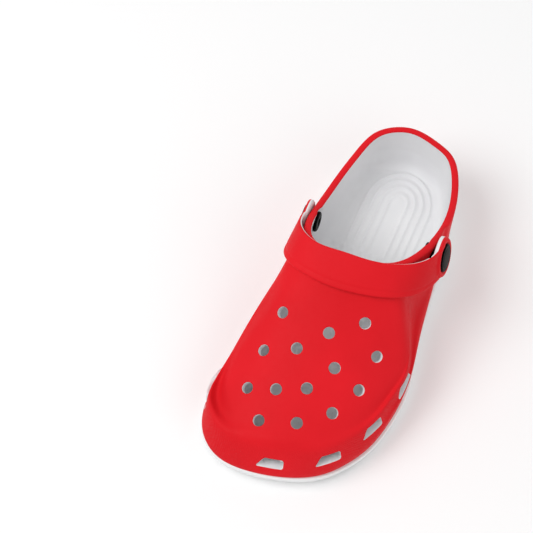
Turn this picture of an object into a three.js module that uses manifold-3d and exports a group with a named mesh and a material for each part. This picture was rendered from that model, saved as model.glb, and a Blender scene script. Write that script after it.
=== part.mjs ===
// Rubber garden clog, left foot: a moulded foam upper with its footbed, a ribbed sole unit,
// and a heel strap that swings on two snap rivets.
// Millimetres, +Z up. The toe points along -Y, the outer side of the foot is +X.
// The origin is under the middle of the outline, on the ground.
import * as THREE from 'three';
import { mergeVertices } from 'three/addons/utils/BufferGeometryUtils.js';
import Module from 'manifold-3d';

const wasm = await Module();
wasm.setup();

// ---- driving dimensions ----
const GAP = 0.33;              // bond line or running clearance between two pieces
const WALL = 5;                // foam thickness of the upper
const FOOTBED = 5;             // foam thickness under the foot
const RIM = 5.2;               // width of the rounded edge round the foot opening
const RIM_DROP = 1.2;          // how far the rim's outer edge lies below its inner edge
const RIM_CROWN = 1.5;         // how far the rim's crest stands above its edges
const SOLE_LIP = 1.5;          // how far the upper is set in from its widest line at the bond
const TREAD_DEPTH = 2.2;
const HOLE_RADIUS = 4.2;       // vent holes in the vamp
const SLOT = { length: 20, height: 8.2, corner: 2, slant: 0.3 };   // drain slots round the toe
const STRAP_THICKNESS = 3.4;
const ARM = { at: 0.18, spread: 0.09, thinner: 1 };      // where along it the strap is thinner to bend
const BOSS = { radius: 14.5, lean: 0.18 };               // round ends of the strap, and their faces' lean
const RIVET = {                // a cap sunk in the boss, its shank, and a pin in the sleeve of a disc
  cap: 10.3, capHeight: 2.3, sunk: 1.9, shank: 5, pin: 2.8, disc: 7.6, discHeight: 2.2, sleeve: 5.2,
};
// Flats on the upper for the strap's ends and the rivets' discs, along the axle from its middle.
const OUTER_SIDE = { outside: 46.2, inside: 40.6 };
const INNER_SIDE = { outside: 48.1, inside: 43.7 };
const FACE_AT = 54.2;          // middle of a boss's outer face, measured the same way
const DISC_ROOM = 0.6;         // clearance round a rivet's disc in its flat
const DISC_CUT = 12;           // how far into the shoe that flat is cleared
const BORE_PAST = 2;           // how far the upper's bore runs past that flat
const BOSS_SINK = 1;           // how far a boss starts below its flat, before it is trimmed
const BAND_TRIM = 9;           // how far past a boss the strap is kept off the upper's flat
const PAST = 8;                // how far a cutter runs past the piece it cuts
const SEAT_RADIUS = 29;        // flat the strap's ends and arms turn against
const SEAT_CUT = 20;           // how deep the cutters of these flats are
const axleMiddle = new THREE.Vector3(6.5, 39.85, 70.55);
const axleDirection = new THREE.Vector3(94.4, 6, 5.5).normalize();   // from inner to outer side
const AROUND = 52;             // steps round the shoe
const UPPER_ROWS = 10;         // steps from the bond up to the rim
const TO_ORIGIN = [-3.84, 0.46, 0];      // puts the origin under the middle of the outline

// ---- small tools ----
function spline(points) {      // natural cubic spline through [x, y] pairs, flat outside them
  const xs = points.map((p) => p[0]);
  const ys = points.map((p) => p[1]);
  const n = xs.length;
  const second = new Array(n).fill(0);
  const load = new Array(n).fill(0);
  for (let i = 1; i < n - 1; i++) {
    const s = (xs[i] - xs[i - 1]) / (xs[i + 1] - xs[i - 1]);
    const p = s * second[i - 1] + 2;
    const bend = (ys[i + 1] - ys[i]) / (xs[i + 1] - xs[i]) - (ys[i] - ys[i - 1]) / (xs[i] - xs[i - 1]);
    second[i] = (s - 1) / p;
    load[i] = ((6 * bend) / (xs[i + 1] - xs[i - 1]) - s * load[i - 1]) / p;
  }
  for (let i = n - 2; i >= 0; i--) second[i] = second[i] * second[i + 1] + load[i];
  return (at) => {
    const x = Math.min(Math.max(at, xs[0]), xs[n - 1]);
    let i = 0;
    while (i < n - 2 && x > xs[i + 1]) i++;
    const h = xs[i + 1] - xs[i];
    const a = (xs[i + 1] - x) / h;
    const b = (x - xs[i]) / h;
    return a * ys[i] + b * ys[i + 1]
      + ((a ** 3 - a) * second[i] + (b ** 3 - b) * second[i + 1]) * (h * h) / 6;
  };
}

function smoothStep(t) {
  const c = Math.min(Math.max(t, 0), 1);
  return c * c * (3 - 2 * c);
}

function splineRing(ring, count) {     // a closed ring of [x, y, z], sampled smoothly
  const pad = 6;
  const n = ring.length;
  const axes = [0, 1, 2].map((axis) => {
    const pairs = [];
    for (let i = -pad; i <= n + pad; i++) pairs.push([i, ring[(i + n) % n][axis]]);
    return spline(pairs);
  });
  return Array.from({ length: count }, (_, k) => axes.map((f) => f((k * n) / count)));
}

function splineLine(points, count) {   // an open line of [x, y, z], sampled smoothly
  const axes = [0, 1, 2].map((axis) => spline(points.map((p, i) => [i, p[axis]])));
  const last = points.length - 1;
  return Array.from({ length: count }, (_, k) => axes.map((f) => f((k * last) / (count - 1))));
}

function outwardNormals(ring) {        // unit normals in plan, away from the foot
  const n = ring.length;
  return ring.map((_, i) => {
    const a = ring[(i + n - 1) % n];
    const b = ring[(i + 1) % n];
    const length = Math.hypot(b[0] - a[0], b[1] - a[1]);
    return [-(b[1] - a[1]) / length, (b[0] - a[0]) / length];
  });
}

function pushOut(ring, distance, lift = 0) {
  const normals = outwardNormals(ring);
  return ring.map(([x, y, z], i) => {
    const [nx, ny] = normals[i];
    return [x + nx * distance, y + ny * distance, z + lift];
  });
}

// ---- the shape of the foot: stations from the heel, round the outer side, toe and inner side ----
// Each station is [x, y] of the widest line of the upper, then [x, y, z] of the rim's inner edge.
const STATIONS = [
  [5, 139, 5, 134, 70.7], [24.5, 134, 21, 131.3, 68], [40, 121, 34.5, 124, 65],
  [48.5, 100, 44.5, 101, 63.7], [53.8, 76, 48, 76, 68], [56, 50, 46.5, 52, 78.5],
  [59, 22, 41.5, 31, 88], [62.8, -6, 34, 17.5, 93], [67.6, -34, 26, 11, 95],
  [66.6, -60, 19, 8.5, 95.7], [60.3, -86.5, 13, 7.3, 96], [48.6, -107.8, 8, 6.7, 96],
  [33.2, -124, 4, 6.4, 96], [11.5, -134.8, 0.5, 6.2, 96], [-13, -140.3, -2.5, 6, 95.9],
  [-37.5, -138.6, -6, 5.8, 95.8], [-55.5, -123.5, -10, 5.4, 95.4], [-60.3, -102, -15, 5.2, 95],
  [-58.1, -76, -20.5, 6.4, 94.2], [-55.2, -50, -27, 9.8, 92.2], [-50.2, -24, -32.5, 16.5, 89.3],
  [-44.6, 2, -35.6, 29, 83], [-41.4, 28, -36, 44, 75.5], [-39.8, 54, -34.8, 63, 69.5],
  [-38.6, 80, -32.5, 84, 66.5], [-36.2, 104, -28.8, 104, 66], [-29.5, 122.5, -22, 121.5, 69.5],
  [-14.5, 135, -9, 131.5, 70.8],
];
// Heights along the foot, from toe to heel.
const crestHeight = spline([[-142, 34], [-130, 37.5], [-123, 41.5], [-114, 43.8], [-104, 47.6],
  [-90, 52.4], [-60, 62], [-42, 69.8], [-20, 82], [6, 97.5], [40, 110]]);
const bondHeight = spline([[-142, 16.5], [-120, 12.4], [-100, 10.2], [-60, 10], [0, 16], [60, 22],
  [139, 24]]);
const widestHeight = spline([[-142, 18.5], [-110, 18.8], [-60, 24], [-20, 32], [20, 36], [139, 37]]);
const bumperLow = spline([[-142, 27.5], [-110, 29], [-60, 34], [-20, 41], [20, 45]]);
const bumperTop = spline([[-142, 36.5], [-110, 39], [-60, 42], [-20, 50], [20, 52]]);
// How fast the vamp falls away to each side of its crest line: square and fourth-power terms.
const CREST_X = -2;
const outerFall = [spline([[-142, 3.5], [-100, 3.6], [-60, 4.2], [-20, 4.5], [6, 4.5]]),
  spline([[-142, 0.5], [-60, 0.4], [6, 0.4]])];
const innerFall = [spline([[-142, 3.5], [-60, 3.5], [-40, 2.8], [-20, 1.3], [6, 0.8]]),
  spline([[-142, 0.8], [-100, 0.8], [-60, 1.4], [-40, 2.6], [-20, 4.8], [6, 5.5]])];
// Profile rows between the widest line and the rim: plan share at the front, and plan and
// height share at the sides and heel.
const FRONT_SHARE = [0, 0.035, 0.085, 0.13, 0.19, 0.3, 0.46, 0.7, 1];
const STEEP = [0, 0.6, 0.5, 0.22, 0, 0, 0, 0, 0];    // how much less of it at the steeper inner side
const SIDE_SHARE = [0, 0.3, 0.52, 0.68, 0.8, 0.88, 0.94, 0.98, 1];
const SIDE_RISE = [0, 0.16, 0.32, 0.47, 0.6, 0.72, 0.83, 0.92, 1];
const OUTER_LIFT = 6;          // how much higher the widest line runs along the outer side
const BUMPER_DIP = [1, 3.5];   // how much lower the bumper's edges run along the inner side

function ramp(y, from, to) {           // 0 before from, 1 past to
  return smoothStep((y - from) / (to - from));
}

function vampHeight(x, y) {
  const square = ((x - CREST_X) ** 2) / 1000;
  const [second, fourth] = x > CREST_X ? outerFall : innerFall;
  return crestHeight(y) - second(y) * square - fourth(y) * square * square;
}

function upperRings() {
  const widest = STATIONS.map((s) => [s[0], s[1], 0]);
  const rimInner = STATIONS.map((s) => [s[2], s[3], s[4]]);
  const rimOuter = pushOut(rimInner, RIM, -RIM_DROP);
  const bond = pushOut(widest, -SOLE_LIP).map(([x, y]) => [x, y, bondHeight(y) + GAP]);
  const rows = FRONT_SHARE.map((front, k) => widest.map(([x, y], i) => {
    const rim = rimOuter[i];
    const steep = x < 0 ? STEEP[k] * ramp(y, -135, -100) : 0;
    const lift = x > 0 ? OUTER_LIFT * ramp(y, -100, -50) * ramp(-y, -40, 10) : 0;
    const low = widestHeight(y) + lift;
    const fx = x + (rim[0] - x) * front * (1 - steep);
    const fy = y + (rim[1] - y) * front * (1 - steep);
    const dip = x < 0 ? ramp(y, -125, -95) : 0;
    const frontHeights = [low, bumperLow(y) - BUMPER_DIP[0] * dip, bumperTop(y) - BUMPER_DIP[1] * dip];
    let fz = frontHeights[k] ?? vampHeight(fx, fy);
    if (front === 1) fz = rim[2];
    const sx = x + (rim[0] - x) * SIDE_SHARE[k];
    const sy = y + (rim[1] - y) * SIDE_SHARE[k];
    const sz = low + (rim[2] - low) * SIDE_RISE[k];
    const w = ramp(-y, -8, 40);          // the front's shape gives way to the heel's round the instep
    return [sx + (fx - sx) * w, sy + (fy - sy) * w, sz + (fz - sz) * w];
  }));
  return { outer: [bond, ...rows], rimInner };
}

function lattice(rings, rowCount) {    // smooth grid of points: rows up the wall, columns round it
  const around = rings.map((r) => splineRing(r, AROUND));
  const columns = Array.from({ length: AROUND }, (_, c) => splineLine(around.map((r) => r[c]), rowCount));
  return Array.from({ length: rowCount }, (_, r) => columns.map((column) => column[r]));
}

function gridNormals(grid) {
  const rows = grid.length;
  const minus = (a, b) => new THREE.Vector3(a[0] - b[0], a[1] - b[1], a[2] - b[2]);
  return grid.map((row, r) => row.map((_, c) => {
    const along = minus(row[(c + 1) % AROUND], row[(c + AROUND - 1) % AROUND]);
    const up = minus(grid[Math.min(r + 1, rows - 1)][c], grid[Math.max(r - 1, 0)][c]);
    return up.cross(along).normalize();
  }));
}

// ---- closed bodies from rings ----
class Skin {
  constructor() {
    this.points = [];
    this.faces = [];
  }

  ring(points) {
    return points.map((p) => this.points.push(p) - 1);
  }

  band(low, high) {                    // faces point outwards when high is above low
    const n = low.length;
    for (let i = 0; i < n; i++) {
      const j = (i + 1) % n;
      this.faces.push([low[i], high[i], high[j]], [low[i], high[j], low[j]]);
    }
  }

  ladder(ring, height, steps, facesUp) {   // floor across a ring, from outer side to inner side
    const n = ring.length;
    const rows = [];
    for (let i = 1; i < n / 2; i++) {
      const a = this.points[ring[i]];
      const b = this.points[ring[n - i]];
      const row = [ring[i]];
      for (let s = 1; s < steps; s++) {
        const t = s / steps;
        const x = a[0] + (b[0] - a[0]) * t;
        const y = a[1] + (b[1] - a[1]) * t;
        row.push(this.points.push([x, y, height(x, y, a[2] + (b[2] - a[2]) * t)]) - 1);
      }
      row.push(ring[n - i]);
      rows.push(row);
    }
    const add = (a, b, c) => this.faces.push(facesUp ? [a, c, b] : [a, b, c]);
    for (let s = 0; s < steps; s++) {
      add(ring[0], rows[0][s], rows[0][s + 1]);
      for (let r = 0; r + 1 < rows.length; r++) {
        add(rows[r][s], rows[r + 1][s], rows[r + 1][s + 1]);
        add(rows[r][s], rows[r + 1][s + 1], rows[r][s + 1]);
      }
      add(rows[rows.length - 1][s], ring[n / 2], rows[rows.length - 1][s + 1]);
    }
  }

  solid() {
    return new wasm.Manifold(new wasm.Mesh({
      numProp: 3,
      vertProperties: new Float32Array(this.points.flat()),
      triVerts: new Uint32Array(this.faces.flat()),
    }));
  }
}

function solidOf(geometry) {           // a three.js geometry as a solid for joining and cutting
  const plain = geometry.index ? geometry.clone() : geometry;
  plain.deleteAttribute('normal');
  plain.deleteAttribute('uv');
  const merged = mergeVertices(plain, 1e-4);
  return new wasm.Manifold(new wasm.Mesh({
    numProp: 3,
    vertProperties: new Float32Array(merged.attributes.position.array),
    triVerts: new Uint32Array(merged.index.array),
  }));
}

function geometryOf(solid) {
  const mesh = solid.getMesh();
  const geometry = new THREE.BufferGeometry();
  geometry.setAttribute('position', new THREE.BufferAttribute(new Float32Array(mesh.vertProperties), 3));
  geometry.setIndex(new THREE.BufferAttribute(new Uint32Array(mesh.triVerts), 1));
  geometry.computeVertexNormals();
  return geometry;
}

function placed(geometry, position, direction, roll = 0) {   // geometry's own +Z is turned to direction
  const turn = new THREE.Quaternion().setFromUnitVectors(new THREE.Vector3(0, 0, 1), direction);
  const spin = new THREE.Quaternion().setFromAxisAngle(direction, roll);
  geometry.applyQuaternion(turn.premultiply(spin));
  geometry.translate(position.x, position.y, position.z);
  return geometry;
}

// ---- clog_upper ----
const ARCH = { rise: 4, from: -14, to: -40, y: 12, reach: 42 };      // under the inside of the foot
const FOOT_INSET = 1.5;        // how much thicker the wall is where it meets the footbed
const FOOT_COVE = { width: 4, rise: 2 };     // slope round the footbed's edge
const LINING_ROW = 3;          // lowest row of the wall that its inside repeats

function footbedHeight(x, y) {
  const arch = ARCH.rise * ramp(-x, -ARCH.from, -ARCH.to) * Math.exp(-(((y - ARCH.y) / ARCH.reach) ** 2));
  return bondHeight(y) + GAP + FOOTBED + arch;
}

function upperSolid(grid, rimInner) {
  const skin = new Skin();
  const normals = gridNormals(grid);
  const rimEdge = splineRing(rimInner, AROUND);
  const outerRings = grid.map((row) => skin.ring(row));
  const top = grid[grid.length - 1];
  const crest = top.map((p, i) => {
    const q = rimEdge[i];
    return [(p[0] + q[0]) / 2, (p[1] + q[1]) / 2, (p[2] + q[2]) / 2 + RIM_CROWN];
  });
  const crestRing = skin.ring(crest);
  const edgeRing = skin.ring(rimEdge);
  const innerRings = [];
  for (let r = grid.length - 2; r >= LINING_ROW; r--) {
    innerRings.push(skin.ring(grid[r].map((p, c) => {
      const n = normals[r][c];
      return [p[0] - n.x * WALL, p[1] - n.y * WALL, p[2] - n.z * WALL];
    })));
  }
  const foot = pushOut(grid[1], -WALL - FOOT_INSET)
    .map(([x, y]) => [x, y, footbedHeight(x, y) + FOOT_COVE.rise]);
  const floorEdge = pushOut(foot, -FOOT_COVE.width).map(([x, y]) => [x, y, footbedHeight(x, y)]);
  const footRing = skin.ring(foot);
  const floorRing = skin.ring(floorEdge);
  const chain = [...outerRings, crestRing, edgeRing, ...innerRings, footRing, floorRing];
  for (let i = 0; i + 1 < chain.length; i++) skin.band(chain[i], chain[i + 1]);
  skin.ladder(outerRings[0], (x, y) => bondHeight(y) + GAP, 6, false);
  skin.ladder(floorRing, (x, y) => footbedHeight(x, y), 8, true);
  return skin.solid();
}

// ---- clog_upper: vents, slots and rivet seats ----
const VENTS = [                        // [x, y] of each vent hole, instep to toe
  [27.2, -27.6], [-29.8, -39.9], [6.4, -42.6], [42.7, -41.7], [-10.7, -59.2], [18.9, -61.5],
  [-32.6, -66.9], [39.8, -66.6], [6.5, -81.3], [29, -88.9], [-13.3, -89.4], [-33, -94.3],
  [9.1, -104.8], [-16.4, -112.3],
];
const SLOT_CUT = { inside: 16, outside: 6 };     // how far a slot's cutter runs into and off the wall
const SLOTS = [                        // [x, y, z] of each drain slot on the bumper
  [66.2, -45, 36.8], [57.5, -83.2, 33.8], [37.1, -114.8, 29.6], [0.6, -133.2, 27.8],
  [-60, -103.6, 26.6], [-57.4, -68.4, 28.5], [-49.4, -22, 33],
];

function ventCutter([x, y]) {
  const step = 0.5;
  const slopeX = (vampHeight(x + step, y) - vampHeight(x - step, y)) / (2 * step);
  const slopeY = (vampHeight(x, y + step) - vampHeight(x, y - step)) / (2 * step);
  const normal = new THREE.Vector3(-slopeX, -slopeY, 1).normalize();
  const cutter = new THREE.CylinderGeometry(HOLE_RADIUS, HOLE_RADIUS, 4 * WALL, 14);
  cutter.rotateX(Math.PI / 2);
  return placed(cutter, new THREE.Vector3(x, y, vampHeight(x, y)), normal);
}

function slotCutter([x, y, z], grid, normals) {
  let best = Infinity;
  let normal = null;
  grid.forEach((row, r) => row.forEach((p, c) => {
    const distance = Math.hypot(p[0] - x, p[1] - y, p[2] - z);
    if (distance < best) {
      best = distance;
      normal = normals[r][c];
    }
  }));
  const along = new THREE.Vector3(-normal.y, normal.x, 0).normalize();
  const up = new THREE.Vector3().crossVectors(normal, along);
  const { length, height, corner, slant } = SLOT;
  const shape = new THREE.Shape();
  const a = length / 2 - corner;
  const b = height / 2 - corner;
  const short = a - slant * length;
  shape.absarc(a, b, corner, 0, Math.PI / 2);
  shape.absarc(-short, b, corner, Math.PI / 2, Math.PI);
  shape.absarc(-a, -b, corner, Math.PI, 1.5 * Math.PI);
  shape.absarc(a, -b, corner, 1.5 * Math.PI, 2 * Math.PI);
  const depth = SLOT_CUT.inside + SLOT_CUT.outside;
  const cutter = new THREE.ExtrudeGeometry(shape, { depth, curveSegments: 2, bevelEnabled: false });
  cutter.translate(0, 0, -SLOT_CUT.inside);
  cutter.applyMatrix4(new THREE.Matrix4().makeBasis(along, up, normal));
  cutter.translate(x, y, z);
  return cutter;
}

function boreRadius(radius, segments) {   // corner radius of a bore whose flats clear a shaft
  return (radius + GAP) / Math.cos(Math.PI / segments);
}

function axleCylinder(side, radius, from, to, segments = 24) {
  const cylinder = new THREE.CylinderGeometry(radius, radius, to - from, segments);
  cylinder.rotateX(Math.PI / 2);
  cylinder.translate(0, 0, (from + to) / 2);
  return placed(cylinder, axleMiddle, axleDirection.clone().multiplyScalar(side));
}

function faceOf(side) {                // middle of a boss's outer face, and the way the face looks
  const along = axleDirection.clone().multiplyScalar(side);
  const up = new THREE.Vector3(0, 0, 1).addScaledVector(along, -along.z).normalize();
  const centre = axleMiddle.clone().addScaledVector(along, FACE_AT);
  const look = along.multiplyScalar(Math.cos(BOSS.lean)).addScaledVector(up, Math.sin(BOSS.lean));
  return { centre, look };
}

function faceCylinder(side, radius, from, to, segments = 24) {   // depths measured from the boss's face
  const { centre, look } = faceOf(side);
  const cylinder = new THREE.CylinderGeometry(radius, radius, to - from, segments);
  cylinder.rotateX(Math.PI / 2);
  cylinder.translate(0, 0, (from + to) / 2);
  return placed(cylinder, centre, look);
}

function seatsOf(side) {
  return side > 0 ? OUTER_SIDE : INNER_SIDE;
}

function makeUpper() {
  const { outer, rimInner } = upperRings();
  const grid = lattice(outer, UPPER_ROWS);
  const normals = gridNormals(grid);
  const bore = boreRadius(RIVET.shank, 16);
  let solid = upperSolid(grid, rimInner);
  for (const vent of VENTS) solid = solid.subtract(solidOf(ventCutter(vent)));
  for (const slot of SLOTS) solid = solid.subtract(solidOf(slotCutter(slot, grid, normals)));
  for (const side of [1, -1]) {
    const { outside, inside } = seatsOf(side);
    solid = solid.subtract(solidOf(axleCylinder(side, SEAT_RADIUS, outside, outside + SEAT_CUT)));
    solid = solid.subtract(solidOf(axleCylinder(side, RIVET.disc + DISC_ROOM, inside - DISC_CUT, inside)));
    solid = solid.subtract(solidOf(axleCylinder(side, bore, inside - BORE_PAST, outside + PAST, 16)));
  }
  return geometryOf(solid);
}

// ---- sole_unit ----
const TREAD_ROWS = { first: -112, last: 122, pitch: 13, width: 3.2, margin: 11 };
const TOE_SPRING = { rise: 6.5, from: -78, over: 65 };     // how the tread lifts at the toe
const HEEL_BEVEL = { rise: 1.5, from: 118, over: 22 };     // and at the back of the heel
const SOLE_FLARE = { least: 0.6, heel: 2.6, outerShare: 0.35 };  // how far the sole stands proud

function groundHeight(y) {
  const toe = Math.max((TOE_SPRING.from - y) / TOE_SPRING.over, 0);
  const heel = Math.max((y - HEEL_BEVEL.from) / HEEL_BEVEL.over, 0);
  return TOE_SPRING.rise * toe ** 2 + HEEL_BEVEL.rise * heel ** 2;
}

// Inset and height of the sole's outline at each level, from the tread's edge up to the bond.
const SOLE_LEVELS = [
  [3.2, groundHeight],
  [0.9, (y) => groundHeight(y) + 2.2],
  [0.3, (y) => (groundHeight(y) + bondHeight(y)) / 2],
  [0, (y) => bondHeight(y) - 1.6],
  [1.4, bondHeight],
];

function soleOutline() {
  const widest = STATIONS.map((s) => [s[0], s[1], 0]);
  const normals = outwardNormals(widest);
  return widest.map(([x, y], i) => {
    const share = x < 0 ? 1 : SOLE_FLARE.outerShare;
    const flare = SOLE_FLARE.least + SOLE_FLARE.heel * share * ramp(y, 10, 80);
    return [x + normals[i][0] * flare, y + normals[i][1] * flare, 0];
  });
}

function spanAt(outline, y) {          // where the outline crosses y, inner side then outer side
  const crossings = [];
  outline.forEach((p, i) => {
    const q = outline[(i + 1) % outline.length];
    if ((p[1] - y) * (q[1] - y) <= 0) crossings.push(p[0] + ((q[0] - p[0]) * (y - p[1])) / (q[1] - p[1]));
  });
  return [Math.min(...crossings), Math.max(...crossings)];
}

function makeSole() {
  const outline = splineRing(soleOutline(), AROUND);
  const skin = new Skin();
  const index = SOLE_LEVELS.map(([inset, height]) => {
    return skin.ring(pushOut(outline, -inset).map(([x, y]) => [x, y, height(y)]));
  });
  for (let i = 0; i + 1 < index.length; i++) skin.band(index[i], index[i + 1]);
  skin.ladder(index[0], (x, y) => groundHeight(y), 4, false);
  skin.ladder(index[index.length - 1], (x, y) => bondHeight(y), 6, true);
  let solid = skin.solid();
  const { first, last, pitch, width, margin } = TREAD_ROWS;
  for (let y = first; y <= last; y += pitch) {
    const [inner, outer] = spanAt(outline, y);
    const left = inner + margin;
    const right = outer - margin;
    const groove = new THREE.BoxGeometry(right - left, width, 2 * TREAD_DEPTH);
    groove.translate((left + right) / 2, y, groundHeight(y));
    solid = solid.subtract(solidOf(groove));
  }
  return geometryOf(solid);
}

// ---- heel_strap ----
const STRAP_LINE = [                   // [lower edge, upper edge] of the outer face, outer to inner side
  [[62.4, 37, 63], [57, 48.8, 85.8]],
  [[61.5, 28, 66], [56.2, 37.8, 88.6]],
  [[58, 16.2, 71.4], [52.5, 27, 93]],
  [[51.2, 3, 78.8], [43.8, 16.5, 97.3]],
  [[38.9, -8.5, 86.6], [30.2, 8.8, 100.6]],
  [[20.5, -15, 88.3], [14.5, 5, 101.6]],
  [[-2.5, -18, 88.3], [-3.5, 4, 101.8]],
  [[-23.3, -15.9, 87.1], [-20.5, 3.8, 100.6]],
  [[-38.9, -9.9, 83.5], [-33.9, 8.6, 98.1]],
  [[-47.6, 1.6, 74.6], [-42.4, 18, 92]],
  [[-48.6, 14.5, 66], [-45.2, 27.5, 86]],
  [[-48.4, 25, 60.5], [-46, 34, 82.5]],
  [[-48.4, 31, 56.5], [-45.9, 41.5, 79]],
];
const STRAP_STEPS = 44;
const STRAP_EDGE = 0.07;               // share of the band's width that its rounded edges take

function strapSections() {
  const lower = splineLine(STRAP_LINE.map((p) => p[0]), STRAP_STEPS).map((p) => new THREE.Vector3(...p));
  const upper = splineLine(STRAP_LINE.map((p) => p[1]), STRAP_STEPS).map((p) => new THREE.Vector3(...p));
  return lower.map((low, i) => {
    const high = upper[i];
    const middle = low.clone().lerp(high, 0.5);
    const before = lower[Math.max(i - 1, 0)].clone().lerp(upper[Math.max(i - 1, 0)], 0.5);
    const next = Math.min(i + 1, STRAP_STEPS - 1);
    const after = lower[next].clone().lerp(upper[next], 0.5);
    const across = high.clone().sub(low);
    const inward = new THREE.Vector3().crossVectors(after.sub(before), across).normalize();
    const at = (share, depth) => low.clone().lerp(high, share).addScaledVector(inward, depth).toArray();
    const share = i / (STRAP_STEPS - 1);
    const fromArm = (Math.min(share, 1 - share) - ARM.at) / ARM.spread;
    const t = STRAP_THICKNESS - ARM.thinner * Math.exp(-(fromArm ** 2));
    return [at(0, t / 2), at(STRAP_EDGE, t), at(0.5, t), at(1 - STRAP_EDGE, t),
      at(1, t / 2), at(1 - STRAP_EDGE, 0), middle.toArray(), at(STRAP_EDGE, 0)];
  });
}

function tubeSolid(sections) {
  const skin = new Skin();
  const rings = sections.map((section) => skin.ring(section));
  for (let i = 0; i + 1 < rings.length; i++) skin.band(rings[i], rings[i + 1]);
  const cap = (ring, flip) => {
    for (let i = 1; i + 1 < ring.length; i++) {
      skin.faces.push(flip ? [ring[0], ring[i + 1], ring[i]] : [ring[0], ring[i], ring[i + 1]]);
    }
  };
  cap(rings[0], false);
  cap(rings[rings.length - 1], true);
  return skin.solid();
}

function makeStrap() {
  let solid = tubeSolid(strapSections());
  const bore = boreRadius(RIVET.shank, 20);
  for (const side of [1, -1]) {
    const from = seatsOf(side).outside + GAP;
    solid = solid.add(solidOf(axleCylinder(side, BOSS.radius, from - BOSS_SINK, FACE_AT + PAST)));
    solid = solid.subtract(solidOf(faceCylinder(side, BOSS.radius + PAST, 0, 2 * PAST)));
    solid = solid.subtract(solidOf(faceCylinder(side, boreRadius(RIVET.cap, 24), -RIVET.sunk, PAST)));
    solid = solid.subtract(solidOf(axleCylinder(side, bore, from - PAST, FACE_AT + PAST, 20)));
    solid = solid.subtract(solidOf(axleCylinder(side, BOSS.radius + BAND_TRIM, from - SEAT_CUT, from)));
  }
  return geometryOf(solid);
}

// ---- rivets: a stud pressed from outside into a socket on the inside ----
function turned(profile, from, direction, segments = 24) {     // [radius, distance from a point] pairs
  const points = profile.map(([radius, distance]) => new THREE.Vector2(radius, distance));
  const geometry = new THREE.LatheGeometry(points, segments);
  geometry.rotateX(Math.PI / 2);
  return placed(geometry, from, direction);
}

function makeStud(side) {              // a shank on the axle under a cap sunk in the boss's face
  const { cap, capHeight, sunk, shank, pin, sleeve } = RIVET;
  const discSeat = seatsOf(side).inside - GAP;
  const pinEnd = discSeat - 1;
  const shoulder = discSeat + sleeve + GAP;
  const end = FACE_AT - 0.4;
  const seat = GAP - sunk;
  const { centre, look } = faceOf(side);
  const stem = turned([
    [0, pinEnd], [pin - 0.6, pinEnd], [pin, pinEnd + 0.8], [pin, shoulder], [shank, shoulder],
    [shank, end], [0, end],
  ], axleMiddle, axleDirection.clone().multiplyScalar(side));
  const head = turned([
    [0, seat], [cap, seat], [cap, seat + 0.6 * capHeight], [cap - 1, seat + capHeight],
    [0.6 * cap, seat + capHeight + 0.2], [0, seat + capHeight + 0.3],
  ], centre, look);
  return geometryOf(solidOf(stem).add(solidOf(head)));
}

function makeSocket(side) {
  const { disc, discHeight, shank, pin, sleeve } = RIVET;
  const discSeat = seatsOf(side).inside - GAP;
  const pinRoom = discSeat - 1 - GAP;
  const back = discSeat - discHeight;
  const bore = pin + GAP;
  const profile = [
    [0, back], [disc - 0.8, back], [disc, back + 0.8], [disc, discSeat], [shank, discSeat],
    [shank, discSeat + sleeve], [bore, discSeat + sleeve], [bore, pinRoom], [0, pinRoom],
  ];
  return geometryOf(solidOf(turned(profile, axleMiddle, axleDirection.clone().multiplyScalar(side))));
}

// ---- the assembly ----
const foam = { roughness: 0.62, metalness: 0 };
const plastic = { roughness: 0.25, metalness: 0 };
const group = new THREE.Group();

function addPiece(name, geometry, color, finish) {
  geometry.translate(...TO_ORIGIN);
  const mesh = new THREE.Mesh(geometry, new THREE.MeshStandardMaterial({ color, ...finish }));
  mesh.name = name;
  group.add(mesh);
}

addPiece('clog_upper', makeUpper(), 0xe7262f, foam);
addPiece('sole_unit', makeSole(), 0xececec, foam);
addPiece('heel_strap', makeStrap(), 0xe7262f, foam);
for (const [name, side] of [['outer', 1], ['inner', -1]]) {
  addPiece(`rivet_stud_${name}`, makeStud(side), 0x070806, plastic);
  addPiece(`rivet_socket_${name}`, makeSocket(side), 0x070806, plastic);
}

export default group;
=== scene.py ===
import math

import bmesh
import bpy
import numpy as np
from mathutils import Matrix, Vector
from mathutils.kdtree import KDTree


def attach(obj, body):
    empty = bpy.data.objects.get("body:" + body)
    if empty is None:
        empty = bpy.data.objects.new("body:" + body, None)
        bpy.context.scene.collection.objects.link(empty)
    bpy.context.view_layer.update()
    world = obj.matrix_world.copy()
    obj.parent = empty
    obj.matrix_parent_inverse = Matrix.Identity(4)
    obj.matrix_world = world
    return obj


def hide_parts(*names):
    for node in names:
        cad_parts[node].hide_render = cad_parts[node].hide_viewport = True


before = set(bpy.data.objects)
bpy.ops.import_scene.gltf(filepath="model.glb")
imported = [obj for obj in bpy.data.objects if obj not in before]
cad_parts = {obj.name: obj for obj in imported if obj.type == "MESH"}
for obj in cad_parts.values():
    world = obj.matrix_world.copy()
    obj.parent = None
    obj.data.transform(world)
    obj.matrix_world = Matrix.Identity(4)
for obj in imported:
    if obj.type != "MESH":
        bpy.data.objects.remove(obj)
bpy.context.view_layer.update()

# A foam garden clog for a left foot. The toe points along -Y, the outer side is +X, up is +Z.
# The shapes are worked out in millimetres, and go to metres when a mesh is made.

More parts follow.
